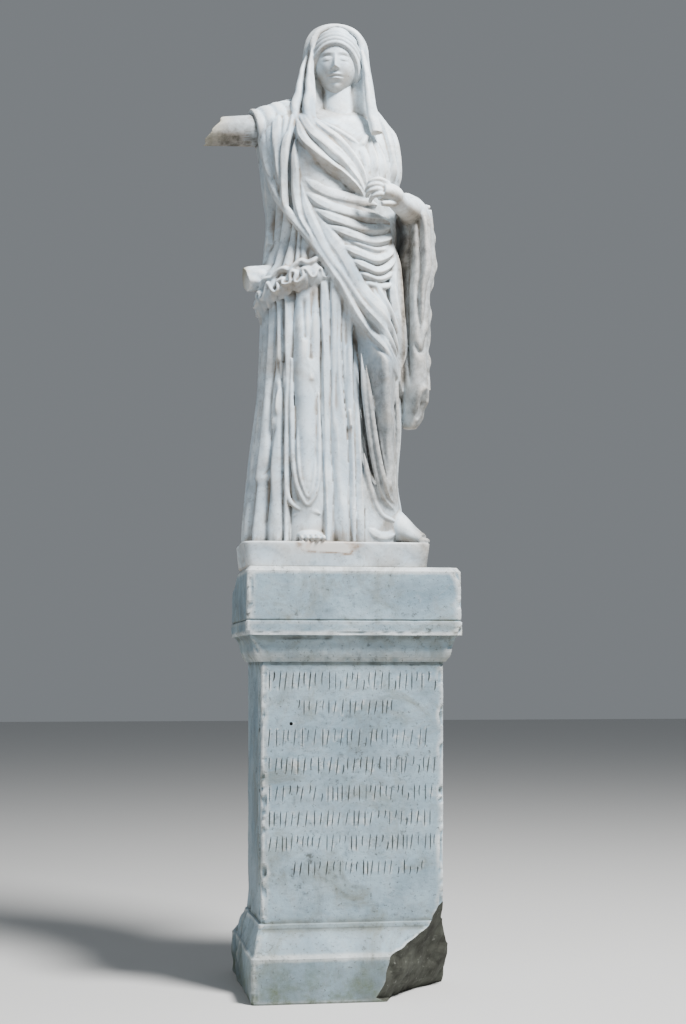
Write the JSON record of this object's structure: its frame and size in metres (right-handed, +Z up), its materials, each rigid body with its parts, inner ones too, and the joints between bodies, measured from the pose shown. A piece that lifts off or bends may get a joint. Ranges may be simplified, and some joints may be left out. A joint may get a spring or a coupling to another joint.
{
  "type": "classical marble statue",
  "caption": "Standing veiled woman in draped marble, right arm broken off, on a tall moulded pedestal with worn rows of carved strokes and a broken lower corner.",
  "frame": {"origin": "centre of the pedestal's underside, on the ground", "axes": "+Z up, the figure faces -Y, her left hand side is +X"},
  "size_m": [0.8591, 0.64, 3.358],
  "materials": {
    "marble": "weathered white marble, matt, with brown patina in the hollows",
    "grey_marble": "weathered blue-grey marble, rough"
  },
  "bodies": {
    "root": {"statue": "marble", "pedestal": "grey_marble"}
  },
  "joints": []
}
